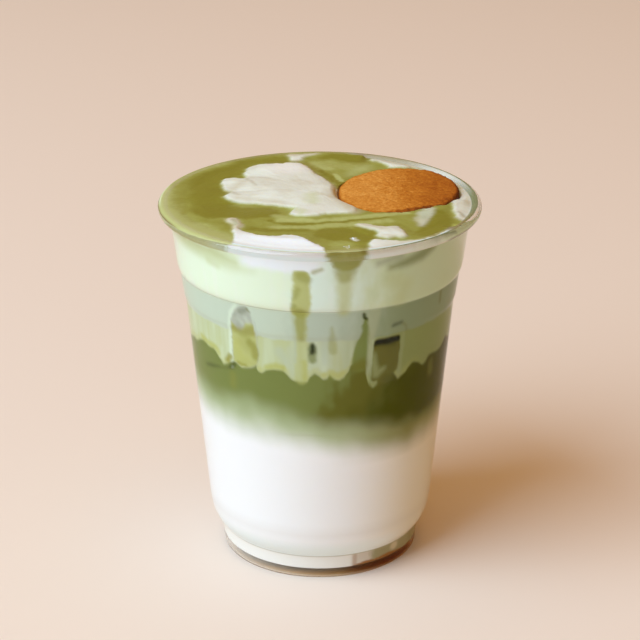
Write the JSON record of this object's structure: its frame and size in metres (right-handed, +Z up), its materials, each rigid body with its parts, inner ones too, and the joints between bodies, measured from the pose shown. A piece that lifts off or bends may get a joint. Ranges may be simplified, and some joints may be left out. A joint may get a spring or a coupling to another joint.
{
  "type": "iced matcha latte",
  "caption": "Iced matcha latte in a clear plastic cold cup: white milk, dark green matcha, a cloudy layer and a cap of whipped cream with a round biscuit lying in it.",
  "frame": {"origin": "centre of the cup's foot, on the surface it stands on", "axes": "+Z up along the cup's axis; -Y is the side that the picture shows"},
  "size_m": [0.0978, 0.0978, 0.1153],
  "materials": {
    "clear_plastic": "clear thermoformed PET, glossy",
    "milk": "cold milk against the wall",
    "matcha": "dark green tea, paler where milk has drifted into it",
    "cloudy_layer": "milky green drink round ice, in streaks",
    "cream": "whipped cream marbled with green tea, soft and a little glossy",
    "biscuit": "baked, fine crumb, darker towards its edge"
  },
  "bodies": {
    "root": {"cup": "clear_plastic", "milk": "milk", "matcha": "matcha", "cloudy_layer": "cloudy_layer", "cream": "cream", "biscuit": "biscuit"}
  },
  "joints": []
}
